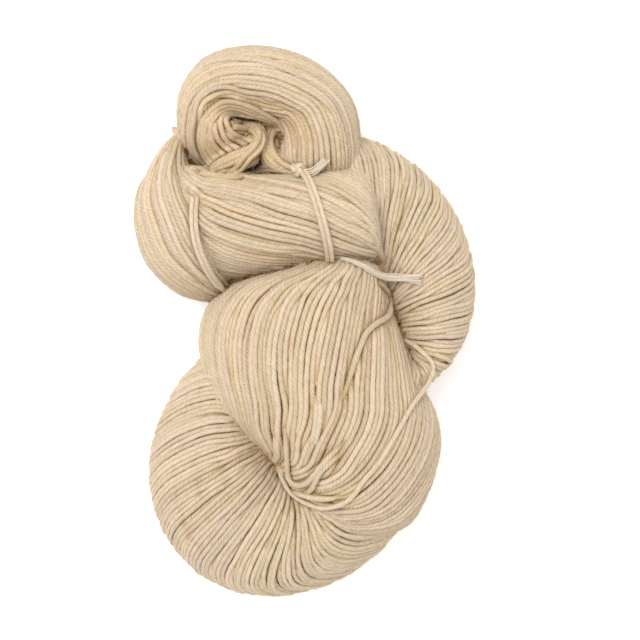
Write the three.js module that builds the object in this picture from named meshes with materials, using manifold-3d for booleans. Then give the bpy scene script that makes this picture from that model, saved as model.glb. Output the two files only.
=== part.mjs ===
// A hank of undyed merino knitting yarn, twisted on itself and tucked into a bun, lying on a table.
// Millimetres. +X is across the hank, +Y points along it to the bun, +Z is up from the table, and
// the origin is under the middle of the hank, on the table.

import * as THREE from 'three';
import { mergeVertices } from 'three/addons/utils/BufferGeometryUtils.js';
import Module from 'manifold-3d';

const wasm = await Module();
wasm.setup();

// Driving sizes
const TIE = 2.0;               // thickness of a strand of the ties
const PAIR_SPACING = 1.7;      // between the middles of the two strands of a doubled tie
const LOOSE_STRAND = 2.0;      // the yarn's own stray strand, which lies over the outside
const TIE_END = 3.0;           // the cut end of a tie, untwisted and fuller
const GAP = 0.35;              // clearance between a tie and the groove that it has pressed
const STRAND_SIDES = 8;        // sides of a tie's tube
const STRAND_STEP = 2;         // length of a facet along a tie, in strand thicknesses
const TABLE_BLOCK = 400;       // width of the block that trims the hank level with the table
const CREAM = 0xd6bf9c;
const PALE_CREAM = 0xe6d8c2;

// Sections of each bundle of strands, from one end to the other. A section is an ellipse: x, y and z
// are its middle, wide and deep are half its width and depth, and lean is the way that its width
// points, in degrees from +X. In an upright bundle the depth stands straight up. In a level bundle,
// which is seen end-on as a spreading fan, the depth lies flat across the width.
const UPRIGHT = {
  // The bun: one end of the hank tucked over and curled round a small hollow
  bun: [
    //  x,   y,    z, wide, deep, lean
    [3, 50, 24, 10, 14, 0],
    [4, 60, 26, 17, 24, 2],
    [5.5, 72, 27, 16.5, 27, 8],
    [4, 83, 27, 16, 28, 22],
    [-3, 89.5, 27, 16, 28, 45],
    [-12.5, 93.5, 27, 16, 28, 68],
    [-23, 94.5, 27, 15.5, 28, 94],
    [-33, 92.5, 27, 14.5, 28, 122],
    [-39, 85.5, 27, 13, 28, 150],
    [-37, 77.5, 27, 14.5, 27, 178],
    [-33.5, 70.5, 25, 15.5, 24, 200],
    [-29, 66, 19, 12, 18, 228],
    [-24, 63, 15, 7, 12, 250],
  ],
  // The band that crosses under the bun, and the turned strands at its left end
  band: [
    [-51, 62, 33, 2, 6, 200],
    [-48, 57, 34, 8, 20, 215],
    [-42.5, 49, 34, 14, 27, 230],
    [-36, 42, 33, 20, 31, 240],
    [-27, 37.5, 33, 22.5, 32, 248],
    [-13, 38, 33, 22, 32, 254],
    [1, 40, 33, 20.5, 32, 260],
    [13, 41, 33, 20, 31, 266],
    [22.5, 40, 33, 18, 29, 270],
    [28, 36, 33, 13, 24, 272],
    [31, 26, 32, 4, 12, 274],
  ],
  bandEnd: [
    [-49, 77, 22, 2, 8, 160],
    [-52, 69, 26, 5.5, 17, 165],
    [-53.5, 60, 31, 9, 24, 175],
    [-53, 49, 34, 14, 30, 182],
    [-50.5, 38, 35, 16.5, 32, 186],
    [-47.5, 27, 35, 16, 31, 194],
    [-42.5, 19, 33, 13.5, 28, 203],
    [-36, 13, 28, 9, 22, 213],
    [-29, 9, 20, 3, 12, 220],
  ],
  // The full bundle in the middle, which sweeps down to the lower pinch
  middle: [
    [13, 28, 34, 3, 8, 0],
    [12, 22, 34, 18, 22, 0],
    [2, 14, 34, 31, 29, -2],
    [-2, 5, 33, 37, 33, -2],
    [-1, -8, 33, 41.5, 34, -3],
    [3, -22, 33, 44, 35, -4],
    [8.5, -35, 33, 44, 34, -4],
    [12.5, -46.5, 32.5, 41.5, 32.5, -8],
    [15, -59, 32, 35.5, 29, -15],
    [12.5, -68, 31, 31, 25, -27],
    [5, -71.5, 31, 22.5, 19, -39],
    [-1.5, -68.5, 32, 13.5, 13, -45],
    [-5, -66, 33, 7, 8, -48],
    [-8, -64, 34, 2, 4, -50],
  ],
  // Strands deep in the bun, which close its hollow below
  bunFloor: [
    [-33, 76, 14, 3, 8, 90],
    [-27, 74, 16, 8, 14, 90],
    [-18, 71, 16, 10, 16, 90],
    [-9, 69, 16, 8, 14, 90],
    [-3, 68, 14, 3, 8, 90],
  ],
  // The small rope of strands in the hollow of the bun, and the strands that leave it for the knot
  innerRope: [
    [-45, 56, 26, 2, 4, 110],
    [-38, 60, 34, 4, 7, 112],
    [-30, 63, 39, 5.5, 8, 115],
    [-22, 67, 40, 5.5, 8, 130],
    [-18.5, 72.5, 38, 4, 7, 160],
    [-20, 77, 34, 2.5, 6, 215],
    [-25, 79, 28, 1.5, 5, 260],
  ],
  innerTail: [
    [-13, 79, 26, 2, 5, 180],
    [-14, 72, 31, 3.5, 8, 180],
    [-13.5, 66, 34, 4.5, 9, 190],
    [-10, 61.5, 35, 5, 9, 225],
    [-3, 58.5, 33, 4, 8, 260],
    [4, 56, 28, 2, 4, 270],
  ],
};
const LEVEL = {
  // The right fan, behind the band and the middle
  rightFan: [
    //  x,   y,    z, wide, deep, lean
    [34, 3, 33, 18, 1.5, 110],
    [33.5, 4, 40, 23, 6, 110],
    [31.5, 7, 45, 31, 15, 112],
    [27, 13, 43.5, 42, 29, 116],
    [21, 19, 36, 52, 42, 123],
    [15, 22.5, 23, 57, 50, 130],
    [15, 22.5, 11, 54, 47, 130],
    [15, 22.5, 2, 44, 38, 130],
    [15, 22.5, -2, 24, 20, 130],
    [15, 22.5, -3, 4, 4, 130],
  ],
  // The lower fan, whose strands spread from the lower pinch
  lowerFan: [
    [-13, -50, 33, 18, 1.5, 117],
    [-12.5, -50, 40, 23, 6, 115],
    [-11, -51, 46.5, 31, 16, 108],
    [-9, -52, 46.5, 43, 31, 90],
    [-7.5, -53.5, 39, 54, 45, 66],
    [-6.5, -54, 26, 60, 53, 45],
    [-6.5, -54, 12, 57, 50, 45],
    [-6.5, -54, 2, 46, 40, 45],
    [-6.5, -54, -2, 24, 20, 45],
    [-6.5, -54, -3, 4, 4, 45],
  ],
};

// How finely each bundle is faceted: steps along it, and sides round it
const FACETS = {
  bun: { steps: 22, sides: 26 },
  band: { steps: 16, sides: 26 },
  bandEnd: { steps: 14, sides: 22 },
  middle: { steps: 24, sides: 34 },
  bunFloor: { steps: 8, sides: 14 },
  innerRope: { steps: 12, sides: 12 },
  innerTail: { steps: 8, sides: 12 },
  rightFan: { steps: 14, sides: 40 },
  lowerFan: { steps: 14, sides: 44 },
};

// Routes of the ties and the loose strand, by hand: x, y and z of the middle of the strand
const BAND_TIE_ROUTE = [
  [-1.5, 59.5, 50.5],
  [1, 55, 56.6],
  [3, 50, 62],
  [5, 44, 65],
  [7, 37, 65],
  [8.5, 31, 61.5],
  [9.3, 27, 57],
  [9.7, 23.5, 52.5],
];
const BAND_TIE_TAIL_ROUTE = [
  [-1, 59.5, 50.8],
  [2.5, 59, 51.2],
  [6, 61.5, 52],
  [9, 64.5, 52.6],
];
const BAND_TIE_KNOT = { place: [-2, 60, 50.6], radius: 2.9, flatten: 0.85, around: 12, down: 8 };
const SIDE_TIE_ROUTE = [
  [-42, 47.5, 61.5],
  [-42.4, 42, 62.8],
  [-42.2, 36, 64.2],
  [-41.2, 30, 64],
  [-39.2, 24, 61.8],
  [-36.6, 18.5, 57],
  [-33.6, 14, 49.5],
];
const TIE_END_ROUTE = [
  [14, 24.6, 51.8],
  [18, 23.4, 53.4],
  [22.5, 21.3, 54.2],
  [27, 18.8, 51],
  [32, 17.2, 46.4],
  [38, 17, 44.8],
  [43, 16.8, 45.8],
  [46, 16.6, 46.2],
];
const LOOSE_STRAND_ROUTE = [
  [-10, -59.5, 41],
  [-8.4, -63.5, 40],
  [-5.5, -68, 40.4],
  [0, -71, 45.4],
  [7, -72.5, 51.6],
  [14, -70.5, 55.6],
  [18.5, -67, 58.2],
  [22.5, -61, 60.8],
  [29, -53, 62.1],
  [35, -43, 61],
  [41, -33, 55.8],
  [45.5, -27.5, 49.5],
  [48.5, -23.5, 46.4],
  [50, -19.5, 45.8],
  [49.6, -16, 45.7],
  [47, -13, 44.8],
  [43, -9.5, 42],
];

// A point on a Catmull-Rom curve through rows of numbers, at a share of the way from first to last.
function between(rows, share) {
  const last = rows.length - 1;
  const place = Math.min(share * last, last - 1e-9);
  const i = Math.floor(place);
  const f = place - i;
  const p1 = rows[i];
  const p2 = rows[i + 1];
  const p0 = rows[i - 1] ?? p1.map((v, k) => 2 * v - p2[k]);
  const p3 = rows[i + 2] ?? p2.map((v, k) => 2 * v - p1[k]);
  return p1.map((v, k) => 0.5 * (
    2 * v
    + (p2[k] - p0[k]) * f
    + (2 * p0[k] - 5 * v + 4 * p2[k] - p3[k]) * f * f
    + (3 * v - p0[k] - 3 * p2[k] + p3[k]) * f * f * f
  ));
}

// The corners of one section.
function sectionCorners(row, sides, level) {
  const [x, y, z, wide, deep, leanDegrees] = row;
  const lean = THREE.MathUtils.degToRad(leanDegrees);
  const corners = [];
  for (let i = 0; i < sides; i += 1) {
    const turn = (2 * Math.PI * i) / sides;
    const across = wide * Math.cos(turn);
    const through = deep * Math.sin(turn);
    const sideways = level ? through : 0;
    corners.push([
      x + across * Math.cos(lean) - sideways * Math.sin(lean),
      y + across * Math.sin(lean) + sideways * Math.cos(lean),
      z + (level ? 0 : through),
    ]);
  }
  return corners;
}

// A closed skin over the sections, with a small flat end at each.
function bundleGeometry(rows, facets, level) {
  const { steps, sides } = facets;
  const positions = [];
  const indices = [];
  for (let s = 0; s <= steps; s += 1) {
    positions.push(...sectionCorners(between(rows, s / steps), sides, level));
  }
  for (let s = 0; s < steps; s += 1) {
    for (let i = 0; i < sides; i += 1) {
      const j = (i + 1) % sides;
      const a = s * sides + i;
      const b = s * sides + j;
      indices.push(a, b, a + sides, b, b + sides, a + sides);
    }
  }
  const first = positions.length;
  positions.push(rows[0].slice(0, 3), rows[rows.length - 1].slice(0, 3));
  const lastRing = steps * sides;
  for (let i = 0; i < sides; i += 1) {
    const j = (i + 1) % sides;
    indices.push(first, j, i, first + 1, lastRing + i, lastRing + j);
  }
  const geometry = new THREE.BufferGeometry();
  geometry.setAttribute('position', new THREE.Float32BufferAttribute(positions.flat(), 3));
  geometry.setIndex(indices);
  return geometry;
}

// The enclosed volume, which is negative where the faces point inwards.
function signedVolume(geometry) {
  const p = geometry.getAttribute('position');
  const index = geometry.getIndex();
  const a = new THREE.Vector3();
  const b = new THREE.Vector3();
  const c = new THREE.Vector3();
  let volume = 0;
  for (let i = 0; i < index.count; i += 3) {
    a.fromBufferAttribute(p, index.getX(i));
    b.fromBufferAttribute(p, index.getX(i + 1));
    c.fromBufferAttribute(p, index.getX(i + 2));
    volume += a.dot(b.cross(c)) / 6;
  }
  return volume;
}

function flipFaces(geometry) {
  const index = geometry.getIndex();
  for (let i = 0; i < index.count; i += 3) {
    const second = index.getX(i + 1);
    index.setX(i + 1, index.getX(i + 2));
    index.setX(i + 2, second);
  }
}

function toSolid(source) {
  const bare = source.clone();
  bare.deleteAttribute('normal');
  bare.deleteAttribute('uv');
  const merged = mergeVertices(bare, 1e-4);
  if (signedVolume(merged) < 0) {
    flipFaces(merged);
  }
  return new wasm.Manifold(new wasm.Mesh({
    numProp: 3,
    vertProperties: new Float32Array(merged.getAttribute('position').array),
    triVerts: new Uint32Array(merged.getIndex().array),
  }));
}

function toGeometry(solid) {
  const mesh = solid.getMesh();
  const geometry = new THREE.BufferGeometry();
  geometry.setAttribute('position', new THREE.BufferAttribute(new Float32Array(mesh.vertProperties), 3));
  geometry.setIndex(new THREE.BufferAttribute(new Uint32Array(mesh.triVerts), 1));
  return geometry;
}

// A round strand along a route, made thicker by grow and moved sideways by x.
function strand(route, thickness, grow, x = 0) {
  const path = new THREE.CatmullRomCurve3(route.map((p) => new THREE.Vector3(p[0] + x, p[1], p[2])));
  const section = new THREE.Shape();
  section.absarc(0, 0, (thickness + grow) / 2, 0, 2 * Math.PI);
  const geometry = new THREE.ExtrudeGeometry(section, {
    steps: Math.ceil(path.getLength() / (STRAND_STEP * thickness)),
    extrudePath: path,
    curveSegments: STRAND_SIDES / 2,
  });
  return toSolid(geometry);
}

// Two strands side by side, drawn tight enough to press into each other.
function doubledStrand(route, thickness, grow) {
  return strand(route, thickness, grow, -PAIR_SPACING / 2)
    .add(strand(route, thickness, grow, PAIR_SPACING / 2));
}

function knot({ place, radius, flatten, around, down }, grow) {
  const geometry = new THREE.SphereGeometry(radius + grow / 2, around, down);
  geometry.scale(1, 1, flatten);
  geometry.translate(...place);
  return toSolid(geometry);
}

// Each piece that is pressed into the hank is also made grown, which gives the groove that it lies in.
// The tie round the band: a doubled strand, its knot in the crease below the bun, and a short tail.
function bandTie(grow) {
  return doubledStrand(BAND_TIE_ROUTE, TIE, grow)
    .add(knot(BAND_TIE_KNOT, grow))
    .add(strand(BAND_TIE_TAIL_ROUTE, TIE, grow));
}

function sideTie(grow) {
  return doubledStrand(SIDE_TIE_ROUTE, TIE, grow);
}

function tieEnd(grow) {
  return strand(TIE_END_ROUTE, TIE_END, grow);
}

function looseStrand(grow) {
  return strand(LOOSE_STRAND_ROUTE, LOOSE_STRAND, grow);
}

// The whole hank: its bundles joined, trimmed flat on the table, with the grooves of what ties it.
function hank(pressedIn) {
  let solid = null;
  for (const [bundles, level] of [[UPRIGHT, false], [LEVEL, true]]) {
    for (const [name, rows] of Object.entries(bundles)) {
      const bundle = toSolid(bundleGeometry(rows, FACETS[name], level));
      solid = solid ? solid.add(bundle) : bundle;
    }
  }
  const table = new THREE.BoxGeometry(TABLE_BLOCK, TABLE_BLOCK, TABLE_BLOCK);
  table.translate(0, 0, -TABLE_BLOCK / 2);
  solid = solid.subtract(toSolid(table));
  for (const piece of pressedIn) {
    solid = solid.subtract(piece);
  }
  return solid;
}

function named(name, solid, color) {
  const material = new THREE.MeshStandardMaterial({ color, roughness: 0.9, metalness: 0 });
  const mesh = new THREE.Mesh(toGeometry(solid), material);
  mesh.name = name;
  return mesh;
}

const grooves = [bandTie, sideTie, tieEnd, looseStrand].map((piece) => piece(2 * GAP));
const group = new THREE.Group();
group.add(
  named('hank', hank(grooves), CREAM),
  named('band_tie', bandTie(0), CREAM),
  named('side_tie', sideTie(0), CREAM),
  named('tie_end', tieEnd(0), PALE_CREAM),
  named('loose_strand', looseStrand(0), CREAM),
);

export default group;
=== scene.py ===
# %% [markdown]
# # A hank of merino yarn
#
# The object is one long length of cream plied wool. It was wound into a ring of many turns, twisted on
# itself and tucked into a bun, and a few strands of the same yarn tie it. The solids of the frame hold its
# true outer shape. Here each turn of yarn that shows is laid over that shape as a real strand. A bump map
# would be quicker, but it would lose the gaps, the crossings and the uneven edge that make wound yarn look
# soft.

# %% Load the frame
import math

import bmesh
import bpy
import numpy as np
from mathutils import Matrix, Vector
from mathutils.bvhtree import BVHTree
from mathutils.kdtree import KDTree


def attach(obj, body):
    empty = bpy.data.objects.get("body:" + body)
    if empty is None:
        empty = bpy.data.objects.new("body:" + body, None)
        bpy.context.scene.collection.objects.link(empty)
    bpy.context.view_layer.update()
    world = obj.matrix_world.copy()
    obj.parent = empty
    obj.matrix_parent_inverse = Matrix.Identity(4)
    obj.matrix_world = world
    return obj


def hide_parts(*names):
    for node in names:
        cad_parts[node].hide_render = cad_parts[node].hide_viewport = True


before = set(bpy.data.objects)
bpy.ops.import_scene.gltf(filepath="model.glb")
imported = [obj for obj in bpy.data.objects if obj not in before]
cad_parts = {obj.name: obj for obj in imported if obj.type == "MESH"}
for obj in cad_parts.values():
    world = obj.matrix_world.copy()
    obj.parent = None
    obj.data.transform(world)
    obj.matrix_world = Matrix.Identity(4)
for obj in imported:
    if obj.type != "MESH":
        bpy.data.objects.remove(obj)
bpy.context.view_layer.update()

# %% [markdown]
# ## The camera
#
# The photograph looks straight down on the hank. A long lens from about three quarters of a metre keeps
# the bundles' proportions, and the camera stands over the middle of the picture, a little to the right of
# the hank's own middle. A camera that isn't turned looks straight down, so only its place is set.

# %% Camera
CAMERA_PLACE = (0.0058, 0.0006, 0.741)
CAMERA_LENS = 100
CAMERA_SENSOR = 36
CAMERA_NEAREST = 0.05

camera_data = bpy.data.cameras.new("camera")
camera_data.lens = CAMERA_LENS
camera_data.sensor_width = CAMERA_SENSOR
camera_data.clip_start = CAMERA_NEAREST
camera = bpy.data.objects.new("camera", camera_data)
camera.location = CAMERA_PLACE
bpy.context.scene.collection.objects.link(camera)
bpy.context.scene.camera = camera
print("camera", CAMERA_PLACE[2], "m above the floor, lens", CAMERA_LENS, "mm")

# %% [markdown]
# ## Routes of the ties and the loose strand
#
# These few strands don't belong to a bundle: they cross over the hank, so each has a route of its own,
# the same one as its solid has. A route is a short list of points in metres, joined by a smooth curve. The
# roots of the loose strand are the short stretches where its two ends go down between other strands.
#
# All that follows is worked out in millimetres, because yarn is about two of them thick. Only the finished
# meshes are in metres.

# %% Routes in metres
MM = 0.001

BAND_TIE_ROUTE = [
    (-0.0015, 0.0595, 0.0505), (0.001, 0.055, 0.0566), (0.003, 0.05, 0.062), (0.005, 0.044, 0.065),
    (0.007, 0.037, 0.065), (0.0085, 0.031, 0.0615), (0.0093, 0.027, 0.057), (0.0097, 0.0235, 0.0525),
]
BAND_TIE_TAIL_ROUTE = [
    (-0.001, 0.0595, 0.0508), (0.0025, 0.059, 0.0512), (0.006, 0.0615, 0.052), (0.009, 0.0645, 0.0526),
]
SIDE_TIE_ROUTE = [
    (-0.042, 0.0475, 0.0615), (-0.0424, 0.042, 0.0628), (-0.0422, 0.036, 0.0642), (-0.0412, 0.03, 0.064),
    (-0.0392, 0.024, 0.0618), (-0.0366, 0.0185, 0.057), (-0.0336, 0.014, 0.0495),
]
TIE_END_ROUTE = [
    (0.014, 0.0246, 0.0518), (0.018, 0.0234, 0.0534), (0.0225, 0.0213, 0.0542), (0.027, 0.0188, 0.051),
    (0.032, 0.0172, 0.0464), (0.038, 0.017, 0.0448), (0.043, 0.0168, 0.0458), (0.046, 0.0166, 0.0462),
]
LOOSE_STRAND_ROUTE = [
    (-0.01, -0.0595, 0.041), (-0.0084, -0.0635, 0.04), (-0.0055, -0.068, 0.0404), (0, -0.071, 0.0454),
    (0.007, -0.0725, 0.0516), (0.014, -0.0705, 0.0556), (0.0185, -0.067, 0.0582), (0.0225, -0.061, 0.0608),
    (0.029, -0.053, 0.0621), (0.035, -0.043, 0.061), (0.041, -0.033, 0.0558), (0.0455, -0.0275, 0.0495),
    (0.0485, -0.0235, 0.0464), (0.05, -0.0195, 0.0458), (0.0496, -0.016, 0.0457), (0.047, -0.013, 0.0448),
    (0.043, -0.0095, 0.042),
]
LOOSE_STRAND_ROOTS = [
    [LOOSE_STRAND_ROUTE[0], (-0.0106, -0.0576, 0.0385), (-0.0108, -0.056, 0.035)],
    [LOOSE_STRAND_ROUTE[-1], (0.0413, -0.0085, 0.0395), (0.0395, -0.0075, 0.036)],
]

# %% Reading a route
TIE_THICKNESS = 2.0
TIE_PAIR_SPACING = 1.7


def between(rows, share):
    """Rows of numbers, read at shares from 0 to 1 of the way along a smooth curve through them."""
    rows = np.asarray(rows, float)
    rows = np.vstack([2 * rows[0] - rows[1], rows, 2 * rows[-1] - rows[-2]])
    place = np.clip(share, 0, 1) * (len(rows) - 3)
    i = np.minimum(place.astype(int), len(rows) - 4)
    f = (place - i)[..., None]
    a, b, c, d = rows[i], rows[i + 1], rows[i + 2], rows[i + 3]
    curve = 2 * b + (c - a) * f + (2 * a - 5 * b + 4 * c - d) * f**2 + (3 * b - a - 3 * c + d) * f**3
    return curve / 2


def line_length(points):
    """Length of a line of points."""
    return float(np.linalg.norm(np.diff(points, axis=0), axis=1).sum())


def smooth_route(route, step=1.0):
    """A route given in metres, as points in millimetres about one step apart."""
    rows = np.asarray(route) / MM
    count = int(line_length(rows) / step) + 2
    return between(rows, np.linspace(0, 1, count))


def doubled(line):
    """A line as two lines side by side."""
    return [line + np.array([aside, 0, 0]) for aside in (-TIE_PAIR_SPACING / 2, TIE_PAIR_SPACING / 2)]


band_tie_lines = doubled(smooth_route(BAND_TIE_ROUTE))
side_tie_lines = doubled(smooth_route(SIDE_TIE_ROUTE))
band_tie_tail_line = smooth_route(BAND_TIE_TAIL_ROUTE)
tie_end_line = smooth_route(TIE_END_ROUTE)
loose_strand_line = smooth_route(LOOSE_STRAND_ROUTE)
print("band tie", round(line_length(band_tie_lines[0]), 1), "mm, side tie",
      round(line_length(side_tie_lines[0]), 1), "mm")

# %% [markdown]
# ## The bundles
#
# Seen from above, the hank is six bundles of parallel strands and a few small ones in the hollow of the
# bun. A bundle could be swept along one curve, but its width, depth and slant all change along it, so each
# bundle is a row of elliptic sections instead, joined by smooth curves. `x`, `y` and `z` are a section's
# middle, `wide` and `deep` are half its width and depth, and `lean` turns its width from +X. `roll` is how
# far round the bundle its strands have moved by that section, in degrees, which gives them the slant of the
# twist. `gather` moves the strands that start on the +X side as much again, and those opposite not at all,
# which draws them together. A level bundle is a fan: it is seen end-on, and its depth lies flat.

# %% Tables of the bundles, in millimetres and degrees
BUNDLES = {
    "bun": (False, [
        # x, y, z, wide, deep, lean, roll, gather
        (3, 50, 24, 10, 14, 0, 0, 0),
        (4, 60, 26, 17, 24, 2, 5, 0),
        (5.5, 72, 27, 16.5, 27, 8, 14, 0),
        (4, 83, 27, 16, 28, 22, 26, 0),
        (-3, 89.5, 27, 16, 28, 45, 34, 0),
        (-12.5, 93.5, 27, 16, 28, 68, 36, 0),
        (-23, 94.5, 27, 15.5, 28, 94, 32, 0),
        (-33, 92.5, 27, 14.5, 28, 122, 22, 0),
        (-39, 85.5, 27, 13, 28, 150, 4, 0),
        (-37, 77.5, 27, 14.5, 27, 178, -16, 0),
        (-33.5, 70.5, 25, 15.5, 24, 200, -34, 0),
        (-29, 66, 19, 12, 18, 228, -44, 0),
        (-24, 63, 15, 7, 12, 250, -48, 0),
    ]),
    "band": (False, [
        (-51, 62, 33, 2, 6, 200, 0, 0),
        (-48, 57, 34, 8, 20, 215, 4, 0),
        (-42.5, 49, 34, 14, 27, 230, 12, 0),
        (-36, 42, 33, 20, 31, 240, 18, 0),
        (-27, 37.5, 33, 22.5, 32, 248, 18, 0),
        (-13, 38, 33, 22, 32, 254, 4, 0),
        (1, 40, 33, 20.5, 32, 260, -12, 0),
        (13, 41, 33, 20, 31, 266, -29, 0),
        (22.5, 40, 33, 18, 29, 270, -42, 0),
        (28, 36, 33, 13, 24, 272, -50, 0),
        (31, 26, 32, 4, 12, 274, -56, 0),
    ]),
    "band_end": (False, [
        (-49, 77, 22, 2, 8, 160, 0, 0),
        (-52, 69, 26, 5.5, 17, 165, 1, 0),
        (-53.5, 60, 31, 9, 24, 175, 2, 0),
        (-53, 49, 34, 14, 30, 182, 5, 0),
        (-50.5, 38, 35, 16.5, 32, 186, 11, 0),
        (-47.5, 27, 35, 16, 31, 194, 17, 0),
        (-42.5, 19, 33, 13.5, 28, 203, 22, 0),
        (-36, 13, 28, 9, 22, 213, 26, 0),
        (-29, 9, 20, 3, 12, 220, 28, 0),
    ]),
    "middle": (False, [
        (13, 28, 34, 3, 8, 0, 0, 0),
        (12, 22, 34, 18, 22, 0, 0, 0),
        (2, 14, 34, 31, 29, -2, 0, 0),
        (-2, 5, 33, 37, 33, -2, 0, 6),
        (-1, -8, 33, 41.5, 34, -3, 0, 17),
        (3, -22, 33, 44, 35, -4, 0, 28),
        (8.5, -35, 33, 44, 34, -4, 3, 34),
        (12.5, -46.5, 32.5, 41.5, 32.5, -8, 11, 37),
        (15, -59, 32, 35.5, 29, -15, 22, 40),
        (12.5, -68, 31, 31, 25, -27, 34, 42),
        (5, -71.5, 31, 22.5, 19, -39, 44, 42),
        (-1.5, -68.5, 32, 13.5, 13, -45, 50, 42),
        (-5, -66, 33, 7, 8, -48, 53, 42),
        (-8, -64, 34, 2, 4, -50, 55, 42),
    ]),
    "right_fan": (True, [
        (34, 3, 33, 18, 1.5, 110, 0, 0),
        (33.5, 4, 40, 23, 6, 110, 0, 0),
        (31.5, 7, 45, 31, 15, 112, -5, 0),
        (27, 13, 43.5, 42, 29, 116, -14, 0),
        (21, 19, 36, 52, 42, 123, -24, 0),
        (15, 22.5, 23, 57, 50, 130, -29, 0),
        (15, 22.5, 11, 54, 47, 130, -29, 0),
        (15, 22.5, 2, 44, 38, 130, -29, 0),
        (15, 22.5, -2, 24, 20, 130, -29, 0),
        (15, 22.5, -3, 4, 4, 130, -29, 0),
    ]),
    "lower_fan": (True, [
        (-13, -50, 33, 18, 1.5, 117, 0, 0),
        (-12.5, -50, 40, 23, 6, 115, 0, 0),
        (-11, -51, 46.5, 31, 16, 108, 3, 0),
        (-9, -52, 46.5, 43, 31, 90, 19, 0),
        (-7.5, -53.5, 39, 54, 45, 66, 47, 0),
        (-6.5, -54, 26, 60, 53, 45, 78, 0),
        (-6.5, -54, 12, 57, 50, 45, 82, 0),
        (-6.5, -54, 2, 46, 40, 45, 83, 0),
        (-6.5, -54, -2, 24, 20, 45, 84, 0),
        (-6.5, -54, -3, 4, 4, 45, 84, 0),
    ]),
    "bun_floor": (False, [
        (-33, 76, 14, 3, 8, 90, 0, 0),
        (-27, 74, 16, 8, 14, 90, 0, 0),
        (-18, 71, 16, 10, 16, 90, 0, 0),
        (-9, 69, 16, 8, 14, 90, 0, 0),
        (-3, 68, 14, 3, 8, 90, 0, 0),
    ]),
    "inner_rope": (False, [
        (-45, 56, 26, 2, 4, 110, 0, 0),
        (-38, 60, 34, 4, 7, 112, 30, 0),
        (-30, 63, 39, 5.5, 8, 115, 70, 0),
        (-22, 67, 40, 5.5, 8, 130, 120, 0),
        (-18.5, 72.5, 38, 4, 7, 160, 170, 0),
        (-20, 77, 34, 2.5, 6, 215, 210, 0),
        (-25, 79, 28, 1.5, 5, 260, 240, 0),
    ]),
    "inner_tail": (False, [
        (-13, 79, 26, 2, 5, 180, 0, 0),
        (-14, 72, 31, 3.5, 8, 180, 0, 0),
        (-13.5, 66, 34, 4.5, 9, 190, 0, 0),
        (-10, 61.5, 35, 5, 9, 225, 0, 0),
        (-3, 58.5, 33, 4, 8, 260, 0, 0),
        (4, 56, 28, 2, 4, 270, 0, 0),
    ]),
}


def bundle_surface(bundle, start, share):
    """Points on the outside of a bundle: start is where round it a strand starts, in radians."""
    level, rows = BUNDLES[bundle]
    x, y, z, wide, deep, lean, roll, gather = np.moveaxis(between(rows, share), -1, 0)
    turn = start + np.radians(roll) + np.radians(gather) * (1 + np.cos(start)) / 2
    lean = np.radians(lean)
    across = np.maximum(wide, 0) * np.cos(turn)
    through = np.maximum(deep, 0) * np.sin(turn)
    sideways = through * level
    upwards = through * (not level)
    return np.stack([
        x + across * np.cos(lean) - sideways * np.sin(lean),
        y + across * np.sin(lean) + sideways * np.cos(lean),
        np.maximum(z + upwards, 0),
    ], axis=-1)

# %% [markdown]
# ## The skin that the strands lie under
#
# The hank's solid is the outside of the whole hank. A tree of its faces tells how deep any point lies
# below that outside. A tree of each bundle tells whether a strand runs on inside another bundle, where
# nobody sees it and it can stop. Asking the trees is exact enough, and much quicker than cutting meshes.

# %% Depth below the outside
FAR_OUTSIDE = -9.0
PICTURE_PLANE = 30

hank_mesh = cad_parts["hank"].data
hank_mesh.calc_loop_triangles()
skin = BVHTree.FromPolygons(
    [v.co / MM for v in hank_mesh.vertices],
    [tuple(t.vertices) for t in hank_mesh.loop_triangles],
)


def depth_below(tree, points):
    """How far below a closed surface each point of a list lies, in millimetres: negative outside it."""
    depth = np.empty(len(points))
    for i, point in enumerate(points):
        place, normal, _, distance = tree.find_nearest(Vector(point))
        depth[i] = math.copysign(distance, (place - Vector(point)).dot(normal))
    return depth


# %% The outside of each bundle
def bundle_skin(bundle, around=48, steps=50):
    """The outside of one bundle as a tree of outward faces, with its lowest and highest corner."""
    turn = np.linspace(0, 2 * math.pi, around, endpoint=False)
    grid = bundle_surface(bundle, turn[:, None], np.linspace(0, 1, steps)[None, :])
    corner = np.arange(around * steps).reshape(around, steps)
    after = np.roll(corner, -1, axis=0)
    faces = np.stack([corner[:, :-1], after[:, :-1], after[:, 1:], corner[:, 1:]], axis=-1).reshape(-1, 4)
    places = grid.reshape(-1, 3)
    a, b, c = places[faces[:, 0]], places[faces[:, 1]], places[faces[:, 2]]
    if (np.cross(b - a, c - a) * (a - places.mean(axis=0))).sum() < 0:
        faces = faces[:, ::-1]
    return BVHTree.FromPolygons(places.tolist(), faces.tolist()), places.min(axis=0), places.max(axis=0)


bundle_skins = {bundle: bundle_skin(bundle) for bundle in BUNDLES}
print(len(bundle_skins), "bundles:", ", ".join(bundle_skins))


def depth_in_others(own, points):
    """How deep each point of a list lies inside any bundle but its own."""
    deepest = np.full(len(points), FAR_OUTSIDE)
    for bundle, (tree, low, high) in bundle_skins.items():
        if bundle != own:
            near = np.flatnonzero(((points > low) & (points < high)).all(axis=1))
            deepest[near] = np.maximum(deepest[near], depth_below(tree, points[near]))
    return deepest


def seen_on_skin(route):
    """Where the camera sees points of a route on the hank, when they are given on the picture's plane."""
    eye = Vector(CAMERA_PLACE) / MM
    places = []
    for x, y in route:
        place = skin.ray_cast(eye, Vector((x, y, PICTURE_PLANE)) - eye)[0]
        places.append(tuple(place) if place else (x, y, 0))
    return np.array(places)

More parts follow.
